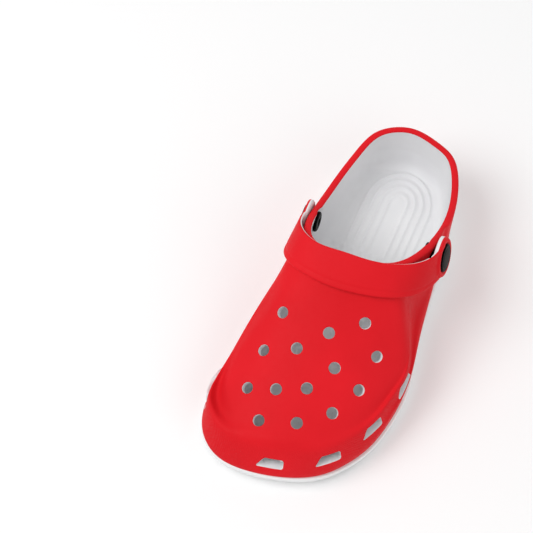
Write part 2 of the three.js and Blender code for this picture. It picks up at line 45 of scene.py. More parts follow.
# ---------------------------------------------------------------- dimensions, in millimetres
GAP = 0.33                # bond line or running clearance between two pieces
WALL = 5.0                # foam thickness of the upper
FOOTBED = 5.0             # foam thickness under the foot
ARCH_RISE = 4.0           # how much higher the footbed is under the arch
FOOT_INSET = 6.5          # from the widest line in to the foot of the wall
FLOOR_INSET = 12.5        # from the widest line in to the flat of the footbed
FOOT_RISE = 2.0           # how much higher the foot of the wall is than that flat
RIM = 5.2                 # width of the rounded edge round the foot opening
RIM_DROP = 1.2            # how far the rim's outer edge lies below its inner edge
RIM_SWELL = 2.4           # how full the rim's rounded top is
SOLE_LIP = 1.5            # how far the upper is set in from its widest line at the bond
OUTER_LIFT = 6.0          # how much higher the widest line runs along the outer side
BUMPER_DIP = 1.0, 3.5     # how much lower the bumper's edges run along the inner side
HOLE_RADIUS, HOLE_FILLET = 4.2, 0.35
SLOT_LENGTH, SLOT_HEIGHT, SLOT_CORNER, SLOT_SLANT = 20.0, 8.2, 2.0, 0.3
SLOT_FILLET = 0.45
STRAP_THICKNESS = 3.4
BEND_AT, BEND_SPREAD = 0.18, 0.09        # where along it the strap is 1 mm thinner, to bend
STRAP_EDGE = 1.1          # radius of the strap's edges
BOSS_RADIUS, BOSS_LEAN, FACE_AT = 14.5, 0.18, 54.2     # the strap's round ends, and their leaning faces
BAND_TRIM = 9.0           # how far past a boss the strap is kept off the upper's flat
CAP_RADIUS, CAP_HEIGHT, CAP_SUNK = 10.3, 2.3, 1.9
SHANK_RADIUS, PIN_RADIUS = 5.0, 2.8
DISC_RADIUS, DISC_HEIGHT, DISC_ROOM = 7.6, 2.2, 0.6
OUTSIDE_SEAT = {1: 46.2, -1: 48.1}       # flats for the strap's ends, along the axle from its middle
INSIDE_SEAT = {1: 40.6, -1: 43.7}        # flats for the rivets' discs
SEAT_RADIUS = 29.0
AXLE_MIDDLE = np.array([6.5, 39.85, 70.55])
AXLE = np.array([94.4, 6.0, 5.5]) / np.linalg.norm([94.4, 6.0, 5.5])      # from inner to outer side
TOE_SPRING, HEEL_BEVEL = 6.5, 1.5        # how far the tread lifts at its ends
TREAD_FIRST, TREAD_LAST, TREAD_PITCH, TREAD_WIDTH, TREAD_DEPTH = -112.0, 126.0, 13.0, 3.2, 2.2
TREAD_MARGIN = 10.5       # from the sole's edge to the grooves' ends
RIB_PITCH = 2.4           # of the fine ribs round the sole's side
RIDGES = ((25, 124.5), (19, 118.5), (13, 112.5), (7, 106))    # footbed ridges: half width, heel end
RIDGE_HEIGHT, RIDGE_SPREAD, RIDGE_X = 1.1, 1.15, 7.0          # the last is their middle line
NUB_HEIGHT, NUB_SPREAD, NUB_PITCH = 1.1, 1.25, (7.2, 5.2)     # footbed nubs, across and along
KNURL_PITCH = 1.9         # of the fine ridges on the toe's bumper
TO_ORIGIN = np.array([-3.84, 0.46, 0.0])     # puts the origin under the middle of the outline
METRES = 0.001

# Stations from the heel, round the outer side, toe and inner side: [x, y] of the widest line,
# then [x, y, z] of the rim's inner edge.
STATIONS = np.array([
    [5, 139, 5, 134, 70.7], [24.5, 134, 21, 131.3, 68], [40, 121, 34.5, 124, 65],
    [48.5, 100, 44.5, 101, 63.7], [53.8, 76, 48, 76, 68], [56, 50, 46.5, 52, 78.5],
    [59, 22, 41.5, 31, 88], [62.8, -6, 34, 17.5, 93], [67.6, -34, 26, 11, 95],
    [66.6, -60, 19, 8.5, 95.7], [60.3, -86.5, 13, 7.3, 96], [48.6, -107.8, 8, 6.7, 96],
    [33.2, -124, 4, 6.4, 96], [11.5, -134.8, 0.5, 6.2, 96], [-13, -140.3, -2.5, 6, 95.9],
    [-37.5, -138.6, -6, 5.8, 95.8], [-55.5, -123.5, -10, 5.4, 95.4],
    [-60.3, -102, -15, 5.2, 95], [-58.1, -76, -20.5, 6.4, 94.2], [-55.2, -50, -27, 9.8, 92.2],
    [-50.2, -24, -32.5, 16.5, 89.3], [-44.6, 2, -35.6, 29, 83], [-41.4, 28, -36, 44, 75.5],
    [-39.8, 54, -34.8, 63, 69.5], [-38.6, 80, -32.5, 84, 66.5], [-36.2, 104, -28.8, 104, 66],
    [-29.5, 122.5, -22, 121.5, 69.5], [-14.5, 135, -9, 131.5, 70.8]])
TURN = len(STATIONS)
VENTS = [                 # [x, y] of each vent hole, instep to toe
    (27.2, -27.6), (-29.8, -39.9), (6.4, -42.6), (42.7, -41.7), (-10.7, -59.2), (18.9, -61.5),
    (-32.6, -66.9), (39.8, -66.6), (6.5, -81.3), (29, -88.9), (-13.3, -89.4), (-33, -94.3),
    (9.1, -104.8), (-16.4, -112.3)]
SLOTS = [                 # [x, y, z] of each drain slot on the bumper
    (66.2, -45, 36.8), (57.5, -83.2, 33.8), (37.1, -114.8, 29.6), (0.6, -133.2, 27.8),
    (-60, -103.6, 26.6), (-57.4, -68.4, 28.5), (-49.4, -22, 33)]
STRAP_LINE = np.array([   # lower edge and upper edge of its outer face, outer to inner side
    [[62.4, 37, 63], [57, 48.8, 85.8]], [[61.5, 28, 66], [56.2, 37.8, 88.6]],
    [[58, 16.2, 71.4], [52.5, 27, 93]], [[51.2, 3, 78.8], [43.8, 16.5, 97.3]],
    [[38.9, -8.5, 86.6], [30.2, 8.8, 100.6]], [[20.5, -15, 88.3], [14.5, 5, 101.6]],
    [[-2.5, -18, 88.3], [-3.5, 4, 101.8]], [[-23.3, -15.9, 87.1], [-20.5, 3.8, 100.6]],
    [[-38.9, -9.9, 83.5], [-33.9, 8.6, 98.1]], [[-47.6, 1.6, 74.6], [-42.4, 18, 92]],
    [[-48.6, 14.5, 66], [-45.2, 27.5, 86]], [[-48.4, 25, 60.5], [-46, 34, 82.5]],
    [[-48.4, 31, 56.5], [-45.9, 41.5, 79]]])


# ---------------------------------------------------------------- splines
def basis(knots, at):
    """Matrix from values at the knots to a natural cubic spline's values at the points."""
    knots = np.asarray(knots, float)
    n = len(knots)
    h = np.diff(knots)
    bend = np.eye(n)
    load = np.zeros((n, n))
    for i in range(1, n - 1):
        bend[i, i - 1:i + 2] = h[i - 1] / 6, (h[i - 1] + h[i]) / 3, h[i] / 6
        load[i, i - 1:i + 2] = 1 / h[i - 1], -1 / h[i - 1] - 1 / h[i], 1 / h[i]
    second = np.linalg.solve(bend, load)
    x = np.clip(np.asarray(at, float).ravel(), knots[0], knots[-1])
    i = np.clip(np.searchsorted(knots, x, side="right") - 1, 0, n - 2)
    a = (knots[i + 1] - x) / h[i]
    b = 1 - a
    out = np.zeros((x.size, n))
    rows = np.arange(x.size)
    out[rows, i] += a
    out[rows, i + 1] += b
    out += ((a ** 3 - a) * h[i] ** 2 / 6)[:, None] * second[i]
    out += ((b ** 3 - b) * h[i] ** 2 / 6)[:, None] * second[i + 1]
    return out


def curve(*pairs):
    xs, ys = np.array(pairs, float).T

    def value(at):
        at = np.asarray(at, float)
        return (basis(xs, at) @ ys).reshape(at.shape)
    return value


def round_basis(n, at):
    """The same for a closed ring of n points, at positions 0 to n."""
    pad = 6
    flat = basis(np.arange(-pad, n + pad + 1), at)
    out = np.zeros((flat.shape[0], n))
    for j in range(flat.shape[1]):
        out[:, (j - pad) % n] += flat[:, j]
    return out


def smooth(t):
    c = np.clip(t, 0, 1)
    return c * c * (3 - 2 * c)


def ramp(y, start, end):
    """0 before the start, 1 past the end."""
    return smooth((y - start) / (end - start))


def unit(v):
    return v / np.linalg.norm(v, axis=-1, keepdims=True)


def push_out(ring, distance):
    step = np.roll(ring, -1, 0)[:, :2] - np.roll(ring, 1, 0)[:, :2]
    normal = unit(np.stack([-step[:, 1], step[:, 0]], 1))
    out = ring.copy()
    out[:, :2] += normal * distance
    return out


# ---------------------------------------------------------------- the foot's shape
# Heights along the foot, from toe to heel.
crest_height = curve((-142, 34), (-130, 37.5), (-123, 41.5), (-114, 43.8), (-104, 47.6),
                     (-90, 52.4), (-60, 62), (-42, 69.8), (-20, 82), (6, 97.5), (40, 110))
bond_height = curve((-142, 16.5), (-120, 12.4), (-100, 10.2), (-60, 10), (0, 16), (60, 22),
                    (139, 24))
widest_height = curve((-142, 18.5), (-110, 18.8), (-60, 24), (-20, 32), (20, 36), (139, 37))
bumper_low = curve((-142, 27.5), (-110, 29), (-60, 34), (-20, 41), (20, 45))
bumper_top = curve((-142, 36.5), (-110, 39), (-60, 42), (-20, 50), (20, 52))
# How fast the vamp falls away to each side of its crest: square and fourth-power terms.
outer_fall = (curve((-142, 3.5), (-100, 3.6), (-60, 4.2), (-20, 4.5), (6, 4.5)),
              curve((-142, 0.5), (-60, 0.4), (6, 0.4)))
inner_fall = (curve((-142, 3.5), (-60, 3.5), (-40, 2.8), (-20, 1.3), (6, 0.8)),
              curve((-142, 0.8), (-100, 0.8), (-60, 1.4), (-40, 2.6), (-20, 4.8), (6, 5.5)))
CREST_X = -2
# Profile rows between the widest line and the rim: plan share at the front, less the part that the
# steeper inner side leaves out, and plan and height share at the sides and heel.
FRONT_SHARE = [0, 0.035, 0.085, 0.13, 0.19, 0.3, 0.46, 0.7, 1]
STEEP = [0, 0.6, 0.5, 0.22, 0, 0, 0, 0, 0]
SIDE_SHARE = [0, 0.3, 0.52, 0.68, 0.8, 0.88, 0.94, 0.98, 1]
SIDE_RISE = [0, 0.16, 0.32, 0.47, 0.6, 0.72, 0.83, 0.92, 1]


def vamp_height(x, y):
    x, y = np.asarray(x, float), np.asarray(y, float)
    square = (x - CREST_X) ** 2 / 1000
    out, inn = [np.stack([f(y) for f in fall]) for fall in (outer_fall, inner_fall)]
    second, fourth = np.where(x > CREST_X, out, inn)
    return crest_height(y) - second * square - fourth * square * square


def shape_rings():
    widest = np.column_stack([STATIONS[:, :2], np.zeros(TURN)])
    rim_inner = STATIONS[:, 2:]
    rim_outer = push_out(rim_inner, RIM)
    rim_outer[:, 2] -= RIM_DROP
    bond = push_out(widest, -SOLE_LIP)
    bond[:, 2] = bond_height(widest[:, 1]) + GAP
    x, y = STATIONS[:, 0], STATIONS[:, 1]
    inner, outer = x < 0, x > 0
    low = widest_height(y) + OUTER_LIFT * ramp(y, -100, -50) * ramp(-y, -40, 10) * outer
    dip = ramp(y, -125, -95) * inner
    low_edge = bumper_low(y) - BUMPER_DIP[0] * dip
    top_edge = bumper_top(y) - BUMPER_DIP[1] * dip
    w = ramp(-y, -8, 40)      # the front's shape gives way to the heel's round the instep
    rings = [bond]
    for k, front in enumerate(FRONT_SHARE):
        steep = STEEP[k] * ramp(y, -135, -100) * inner
        fx = x + (rim_outer[:, 0] - x) * front * (1 - steep)
        fy = y + (rim_outer[:, 1] - y) * front * (1 - steep)
        fz = (low, low_edge, top_edge)[k] if k < 3 else vamp_height(fx, fy)
        fz = rim_outer[:, 2] if front == 1 else fz
        sx = x + (rim_outer[:, 0] - x) * SIDE_SHARE[k]
        sy = y + (rim_outer[:, 1] - y) * SIDE_SHARE[k]
        sz = low + (rim_outer[:, 2] - low) * SIDE_RISE[k]
        rings.append(np.stack([sx + (fx - sx) * w, sy + (fy - sy) * w, sz + (fz - sz) * w], 1))
    return np.stack(rings), widest, rim_inner


RINGS, WIDEST, RIM_INNER = shape_rings()
AROUND = 420         # fine columns round the shoe
COLUMN = TURN / AROUND
TOP_ROW = len(RINGS) - 1.0
COVE_ROW = 3.0       # below this row the inside curves into the footbed
LIP_ROW = 8.7        # above this row the inside curves into the rim


def skin(u, v):
    """Points of the upper's outside at station u, 0 to 28, and row v, 0 at the bond to 9."""
    return np.einsum("mi,ijk,mj->mk", basis(range(len(RINGS)), v), RINGS, round_basis(TURN, u % TURN))


def skin_normal(u, v):
    step = 0.01
    low, high = np.clip(v - step, 0, TOP_ROW), np.clip(v + step, 0, TOP_ROW)
    along = skin(u + step, v) - skin(u - step, v)
    up = skin(u, high) - skin(u, low)
    return unit(np.cross(up, along))


def footbed_height(x, y):
    arch = ARCH_RISE * ramp(-x, 14, 40) * np.exp(-((y - 12) / 42) ** 2)
    return bond_height(y) + GAP + FOOTBED + arch


FOOT_RING = push_out(WIDEST, -FOOT_INSET)
FOOT_RING[:, 2] = footbed_height(FOOT_RING[:, 0], FOOT_RING[:, 1]) + FOOT_RISE
FLOOR_RING = push_out(WIDEST, -FLOOR_INSET)
FLOOR_RING[:, 2] = footbed_height(FLOOR_RING[:, 0], FLOOR_RING[:, 1])


def ring_at(ring, u):
    return round_basis(TURN, u % TURN) @ ring


def bezier(a, b, c, d, t):
    t = t[:, None]
    s = 1 - t
    return s ** 3 * a + 3 * s * s * t * b + 3 * s * t * t * c + t ** 3 * d


def lining(u, v):
    """Points of the upper's inside: row 1 is the footbed's edge, row 9 the rim's inner edge."""
    mid = np.clip(v, COVE_ROW, LIP_ROW)
    out = skin(u, mid) - skin_normal(u, mid) * WALL
    low = v < COVE_ROW
    if low.any():
        a, f, e = out[low], ring_at(FOOT_RING, u[low]), ring_at(FLOOR_RING, u[low])
        t = (COVE_ROW - v[low]) / (COVE_ROW - 1)
        tight = 0.85
        out[low] = bezier(a, a + (f - a) * tight, e + (f - e) * tight, e, t)
    high = v > LIP_ROW
    if high.any():
        uh = u[high]
        a, e = out[high], ring_at(RIM_INNER, uh)
        edge = np.full(uh.shape, LIP_ROW - 0.02)
        before = skin(uh, edge) - skin_normal(uh, edge) * WALL
        reach = 0.4 * np.linalg.norm(e - a, axis=1)[:, None]
        t = (v[high] - LIP_ROW) / (TOP_ROW - LIP_ROW)
        out[high] = bezier(a, a + unit(a - before) * reach, e - [0, 0, 1] * reach, e, t)
    return out


# ---------------------------------------------------------------- meshes
class Shape:
    """The points and faces of one mesh, in millimetres."""

    def __init__(self):
        self.points = np.zeros((0, 3))
        self.faces = []

    def add(self, points):
        points = np.asarray(points, float)
        index = np.arange(points[..., 0].size).reshape(points.shape[:-1]) + len(self.points)
        self.points = np.vstack([self.points, points.reshape(-1, 3)])
        return index

    def strip(self, low, high, slot=0, keep=None, closed=True):
        faces = np.stack([low, high, np.roll(high, -1), np.roll(low, -1)], 1)
        faces = faces if closed else faces[:-1]
        faces = faces if keep is None else faces[keep]
        self.faces.append((faces, slot))

    def strips(self, rows, slot=0, closed=True):
        for low, high in zip(rows, rows[1:]):
            self.strip(low, high, slot, closed=closed)

    def fan(self, ring, centre, slot=0):
        middle = self.add([centre])[0]
        faces = np.stack([ring, np.roll(ring, -1), np.full(ring.shape, middle)], 1)
        self.faces.append((faces, slot))

    def ladder(self, ring, height, steps, slot=0):
        """A floor across a ring, from its outer side to its inner side."""
        half = len(ring) // 2
        a, b = self.points[ring[1:half]], self.points[ring[:half:-1]]
        t = np.linspace(0, 1, steps + 1)[1:-1, None]
        inside = a[:, None] + (b - a)[:, None] * t
        inside[..., 2] = height(inside[..., 0], inside[..., 1])
        rows = np.hstack([ring[1:half, None], self.add(inside), ring[:half:-1, None]])
        for row, after in zip(rows, rows[1:]):
            self.strip(row, after, slot, closed=False)
        for tip, row in ((ring[0], rows[0]), (ring[half], rows[-1])):
            self.faces.append((np.stack([np.full(steps, tip), row[:-1], row[1:]], 1), slot))

    def mesh(self, name):
        used = np.unique(np.concatenate([f.ravel() for f, _ in self.faces]))
        renumber = np.zeros(len(self.points), int)
        renumber[used] = np.arange(len(used))
        points = (self.points[used] + TO_ORIGIN) * METRES
        faces = [face for f, _ in self.faces for face in renumber[f].tolist()]
        slots = np.concatenate([np.full(len(f), slot) for f, slot in self.faces])
        mesh = bpy.data.meshes.new(name)
        mesh.from_pydata(points.tolist(), [], faces)
        mesh.polygons.foreach_set("material_index", slots.astype(np.int32))
        work = bmesh.new()
        work.from_mesh(mesh)
        if any(len(edge.link_faces) != 2 for edge in work.edges):
            raise ValueError(f"{name} isn't closed")
        bmesh.ops.recalc_face_normals(work, faces=work.faces)
        work.to_mesh(mesh)
        work.free()
        mesh.polygons.foreach_set("use_smooth", [True] * len(mesh.polygons))
        return mesh


def points_of(mesh):
    """A mesh's points, back in millimetres in the shape's own frame."""
    flat = np.empty(len(mesh.vertices) * 3)
    mesh.vertices.foreach_get("co", flat)
    return flat.reshape(-1, 3) / METRES - TO_ORIGIN


def place(mesh, materials, body, nodes):
    piece = bpy.data.objects.new(mesh.name, mesh)
    bpy.context.scene.collection.objects.link(piece)
    for material in materials:
        mesh.materials.append(material)
    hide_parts(*nodes)
    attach(piece, body)
    return piece


# ---------------------------------------------------------------- holes through the upper
class Hole:
    """An opening with a rounded outline; slant shortens the top edge at its left end."""

    def __init__(self, centre, normal, a, b, corner, fillet, slant=0.0):
        self.centre, self.normal = np.array(centre, float), unit(np.array(normal, float))
        self.right = unit(np.array([-self.normal[1], self.normal[0], 0.0]))
        self.up = np.cross(self.normal, self.right)
        self.size = np.array([a, b, corner]) + fillet
        self.fillet = fillet
        self.slant = slant

    def distance(self, p):
        """Below 0 inside the outline, above 0 outside it."""
        a, b, corner = self.size
        x, y = p.T
        narrow = 1 - self.slant * (np.clip(y / b, -1, 1) + 1)
        x = np.where(x < 0, x / narrow, x)
        q = np.abs(np.stack([x, y], 1)) - [a - corner, b - corner]
        return np.linalg.norm(np.maximum(q, 0), axis=1) + np.minimum(q.max(1), 0) - corner

    def edge_normal(self, p):
        steps = np.eye(2) * 0.01
        return unit(np.stack([self.distance(p + d) - self.distance(p - d) for d in steps], 1))

    def flat(self, points):
        d = points - self.centre
        return np.stack([d @ self.right, d @ self.up], 1)

    def find(self, surface, target, guess):
        """Surface coordinates of the points that lie on the hole's own grid at target."""
        uv = guess.copy()
        step = 1e-3
        for _ in range(12):
            here = self.flat(surface(uv[:, 0], uv[:, 1]))
            du = (self.flat(surface(uv[:, 0] + step, uv[:, 1])) - here) / step
            dv = (self.flat(surface(uv[:, 0], uv[:, 1] + step)) - here) / step
            miss = target - here
            det = du[:, 0] * dv[:, 1] - du[:, 1] * dv[:, 0]
            move = np.stack([miss[:, 0] * dv[:, 1] - miss[:, 1] * dv[:, 0],
                             du[:, 0] * miss[:, 1] - du[:, 1] * miss[:, 0]], 1) / det[:, None]
            uv += np.clip(move, -0.4, 0.4)
            uv[:, 1] = np.clip(uv[:, 1], 0.5, TOP_ROW - 0.05)
        return uv

    def block(self, surface, rows, near, margin):
        """The hole's middle on a surface, and the columns and rows of its grid round the hole."""
        a, b, _ = self.size
        around = np.linspace(0, 2 * np.pi, 24, endpoint=False)
        reach = np.stack([np.cos(around) * (a + margin), np.sin(around) * (b + margin)], 1)
        middle = self.find(surface, np.zeros((1, 2)), near[None])
        uv = np.repeat(middle, len(around), 0)
        for share in (0.25, 0.5, 0.75, 1):
            uv = self.find(surface, reach * share, uv)
        c0, c1 = int(uv[:, 0].min() // COLUMN), int(-(-uv[:, 0].max() // COLUMN))
        r0 = max(int(np.searchsorted(rows, uv[:, 1].min())) - 1, 0)
        r1 = int(np.searchsorted(rows, uv[:, 1].max()))
        return middle, (c0, c1, r0, r1)

    def fill(self, shape, surface, grid, keep, rows, middle, block, slot):
        """Swaps the block's cells for rings that end on the hole's edge."""
        a, b, _ = self.size
        c0, c1, r0, r1 = block
        keep[r0:r1, c0:c1] = False
        edge = [(r0, c) for c in range(c0, c1)] + [(r, c1) for r in range(r0, r1)]
        edge += [(r1, c) for c in range(c1, c0, -1)] + [(r, c0) for r in range(r1, r0, -1)]
        r, c = np.array(edge).T
        bound = np.stack([c * COLUMN, rows[r]], 1)
        flat = self.flat(shape.points[grid[r, c]])
        aim = flat / np.abs(flat).max(0) * [a, b]
        low, high = np.zeros(len(aim)), np.full(len(aim), 3.0)
        for _ in range(40):
            mid = (low + high) / 2
            inside = self.distance(aim * mid[:, None]) < 0
            low, high = np.where(inside, mid, low), np.where(inside, high, mid)
        target = aim * low[:, None]
        share = (np.linalg.norm(target, axis=1) / np.linalg.norm(flat, axis=1))[:, None]
        loop = self.find(surface, target, middle + (bound - middle) * share)
        rings = [grid[r, c]]
        for t in (0.3, 0.6, 1):
            uv = bound + (loop - bound) * t
            rings.append(shape.add(surface(uv[:, 0], uv[:, 1])))
        shape.strips(rings, slot)
        return rings[-1], target

    def bevel(self, shape, ring, target, side, slot):
        """Rounds the hole's edge; side is -1 down from the outside, +1 up from the inside."""
        flat = self.edge_normal(target)
        out = flat[:, :1] * self.right + flat[:, 1:] * self.up
        start = shape.points[ring]
        rings = [ring]
        for turn in np.radians((30, 60, 90)):
            down = side * self.fillet * (1 - np.cos(turn)) * self.normal
            rings.append(shape.add(start - out * self.fillet * np.sin(turn) + down))
        shape.strips(rings, slot)
        return rings[-1]


# ---------------------------------------------------------------- upper_shell
ROW_STEPS = [4, 9, 9, 5, 6, 8, 10, 14, 14]      # fine rows between one row of the profile and the next
ROWS = np.concatenate([*(np.linspace(i, i + 1, n, endpoint=False) for i, n in enumerate(ROW_STEPS)),
                       [TOP_ROW]])
LINING_ROWS = np.concatenate([ROWS[(ROWS >= 1) & (ROWS < LIP_ROW)], np.linspace(LIP_ROW, TOP_ROW, 8)])
COLUMNS = np.arange(AROUND) * COLUMN
SKIN_V, SKIN_U = (grid.ravel() for grid in np.meshgrid(ROWS, COLUMNS, indexing="ij"))
OUTSIDE = skin(SKIN_U, SKIN_V)
FLOOR_STEPS = 84
OUTER_MARGIN, LINING_MARGIN = 1.6, 1.2          # room round a hole in which the grid is remade
RED, WHITE = 0, 1


def nearest_on_skin(point):
    """Station and row of the grid point that is nearest to a point."""
    at = np.linalg.norm(OUTSIDE - point, axis=1).argmin()
    return np.array([SKIN_U[at], SKIN_V[at]])


def on_axle(points):
    """Distance along the axle from its middle, and distance from the axle."""
    d = points - AXLE_MIDDLE
    along = d @ AXLE
    return along, np.linalg.norm(d - along[:, None] * AXLE, axis=1)


def face_of(side):
    """Middle of a boss's outer face, and the way the face looks."""
    along = side * AXLE
    rise = unit(np.array([0, 0, 1.0]) - along[2] * along)
    centre = AXLE_MIDDLE + along * FACE_AT
    return centre, along * math.cos(BOSS_LEAN) + rise * math.sin(BOSS_LEAN)


def seat(points, outside):
    """Flattens the wall where a strap end or a rivet disc rests on it."""
    along, radius = on_axle(points)
    side, reach = np.sign(along), np.abs(along)
    if outside:
        w = 1 - smooth((radius - SEAT_RADIUS + 4) / 5)
        wanted = np.minimum(reach, np.where(side > 0, OUTSIDE_SEAT[1], OUTSIDE_SEAT[-1]))
    else:
        w = 1 - smooth((radius - DISC_RADIUS - DISC_ROOM) / 3)
        wanted = np.where(side > 0, INSIDE_SEAT[1], INSIDE_SEAT[-1])
    w = w * (reach > 30)
    return points + ((wanted - reach) * side * w)[:, None] * AXLE


def footbed_relief(x, y):
    """Nested long ridges under the heel and rows of small nubs under the arch."""
    height = np.zeros(x.shape)
    longer = 1.25         # how much longer than a half circle a ridge's end is
    for half, top in RIDGES:
        away = np.hypot(x - RIDGE_X, np.maximum(y - (top - longer * half), 0) / longer)
        start = 44 + 0.3 * half
        height += RIDGE_HEIGHT * np.exp(-((away - half) / RIDGE_SPREAD) ** 2) * ramp(y, start, start + 8)
    nx, ny = NUB_PITCH
    along = y + 60
    row = np.round(along / ny)
    shifted = x + (row % 2) * nx / 2
    dx = shifted - np.round(shifted / nx) * nx
    dy = along - row * ny
    field = ramp(-y, -56, -46) * ramp(y, -95, -85)
    height += NUB_HEIGHT * np.exp(-((dx ** 2 + dy ** 2) / NUB_SPREAD ** 2)) * field
    return height


def make_rim(shape, top, edge):
    """Rings over the rounded edge, from the wall's top to the lining's edge."""
    lift = np.array([0, 0, RIM_SWELL])
    outwards = unit((top - edge) * [1, 1, 0])
    rounded = (top, top + lift + outwards * 0.5, edge + lift * 0.9, edge)
    return [shape.add(bezier(*rounded, np.full(AROUND, t))) for t in np.linspace(0, 1, 10)[1:-1]]


def make_upper():
    shape = Shape()
    outer = shape.add(seat(OUTSIDE, True).reshape(len(ROWS), AROUND, 3))
    v, u = np.meshgrid(LINING_ROWS, COLUMNS, indexing="ij")
    inner = shape.add(seat(lining(u.ravel(), v.ravel()), False).reshape(*u.shape, 3))
    rim = make_rim(shape, shape.points[outer[-1]], shape.points[inner[-1]])

    keep_out = np.ones((len(ROWS) - 1, AROUND), bool)
    keep_in = np.ones((len(LINING_ROWS) - 1, AROUND), bool)
    for hole in make_holes():
        near = nearest_on_skin(hole.centre)
        middle, block = hole.block(skin, ROWS, near, OUTER_MARGIN)
        ring, target = hole.fill(shape, skin, outer, keep_out, ROWS, middle, block, RED)
        low = hole.bevel(shape, ring, target, -1, RED)
        middle, block = hole.block(lining, LINING_ROWS, near, LINING_MARGIN)
        block = widened(block, len(ring))
        ring, target = hole.fill(shape, lining, inner, keep_in, LINING_ROWS, middle, block, WHITE)
        high = hole.bevel(shape, ring, target, 1, WHITE)
        a, b = shape.points[low], shape.points[high]
        wall = [low] + [shape.add(a + (b - a) * t) for t in (0.2, 0.4, 0.6, 0.8)] + [high]
        shape.strips(wall, WHITE)

    for r in range(len(ROWS) - 1):
        shape.strip(outer[r], outer[r + 1], RED, keep_out[r])
    shape.strips([outer[-1], *rim, inner[-1]], RED)
    for r in range(len(LINING_ROWS) - 1):
        shape.strip(inner[r], inner[r + 1], WHITE, keep_in[r])
    shape.ladder(outer[0], lambda x, y: bond_height(y) + GAP, 4, WHITE)
    shape.ladder(inner[0], lambda x, y: footbed_height(x, y) + footbed_relief(x, y), FLOOR_STEPS, WHITE)
    return shape.mesh("upper_shell")


def widened(block, count):
    """The block with columns added on both sides until it has count edges."""
    c0, c1, r0, r1 = block
    spare = count // 2 - (c1 - c0) - (r1 - r0)
    return c0 - spare // 2, c1 + spare - spare // 2, r0, r1


def make_holes():
    holes = []
    for x, y in VENTS:
        step = 0.5
        slope_x = (vamp_height(x + step, y) - vamp_height(x - step, y)) / (2 * step)
        slope_y = (vamp_height(x, y + step) - vamp_height(x, y - step)) / (2 * step)
        centre = (x, y, float(vamp_height(x, y)))
        holes.append(Hole(centre, (-slope_x, -slope_y, 1), HOLE_RADIUS, HOLE_RADIUS, HOLE_RADIUS,
                          HOLE_FILLET))
    for place_at in SLOTS:
        u, v = nearest_on_skin(place_at)
        normal = skin_normal(np.array([u]), np.array([v]))[0]
        holes.append(Hole(place_at, normal, SLOT_LENGTH / 2, SLOT_HEIGHT / 2, SLOT_CORNER,
                          SLOT_FILLET, SLOT_SLANT))
    return holes


# ---------------------------------------------------------------- sole
def ground_height(y):
    toe = TOE_SPRING * (np.maximum(-78 - y, 0) / 65) ** 2
    heel = HEEL_BEVEL * (np.maximum(y - 118, 0) / 22) ** 2
    return toe + heel


def sole_sides():
    """The sole's outline in two halves: heel to toe down the outer side, and back up the inner."""
    x, y = WIDEST[:, 0], WIDEST[:, 1]
    flare = 0.6 + 2.6 * np.where(x < 0, 1, 0.35) * ramp(y, 10, 80)
    plan = WIDEST + unit(push_out(WIDEST, 1) - WIDEST) * flare[:, None]
    fine = ring_at(plan, np.linspace(0, TURN, 6000, endpoint=False))
    heel, toe = fine[:, 1].argmax(), fine[:, 1].argmin()
    fine = np.roll(fine, -heel, 0)
    toe = (toe - heel) % len(fine)
    return fine[:toe + 1], np.vstack([fine[toe:], fine[:1]])


def sole_ring(outer_side, inner_side):
    """The outline with its points in pairs straight across, closer together at the two ends."""
    count = 700
    heel, toe = outer_side[0, 1], outer_side[-1, 1]
    turn = np.linspace(0, np.pi, count + 1)
    even = 0.5 - 0.5 * np.cos(turn)
    lines = heel + (toe - heel) * (0.75 * even + 0.25 * turn / np.pi)
    right = np.interp(-lines, -outer_side[:, 1], outer_side[:, 0])
    left = np.interp(lines[::-1], inner_side[:, 1], inner_side[:, 0])[1:-1]
    return np.column_stack([np.concatenate([right, left]),
                            np.concatenate([lines, lines[::-1][1:-1]]),
                            np.zeros(2 * count)])


